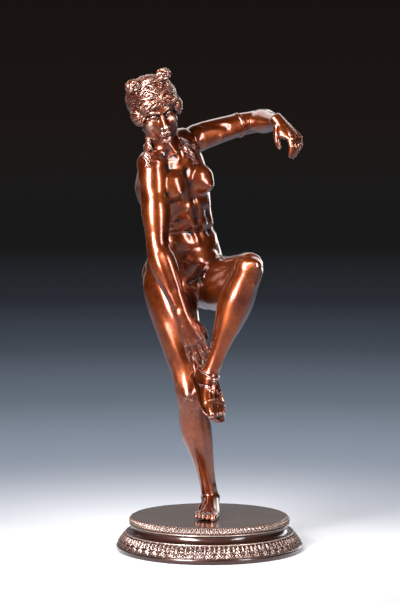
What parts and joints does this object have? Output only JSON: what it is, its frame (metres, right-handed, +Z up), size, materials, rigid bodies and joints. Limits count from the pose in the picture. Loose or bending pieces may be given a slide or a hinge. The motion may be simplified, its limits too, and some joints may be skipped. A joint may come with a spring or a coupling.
{
  "type": "statuette",
  "caption": "Nude woman poised on her right leg, loosening the sandal of her raised foot, on a round turned plinth with carved bands.",
  "frame": {"origin": "centre of the plinth's underside", "axes": "+Z up through the figure, -Y towards the viewer whom the figure faces, +X to the viewer's right, where the figure's left arm reaches"},
  "size_m": [0.188, 0.1996, 0.4793],
  "materials": {
    "figure": "glossy red-brown lacquered bronze",
    "plinth": "red-brown lacquered bronze"
  },
  "bodies": {
    "root": {"figure": "figure", "plinth": "plinth"}
  },
  "joints": []
}
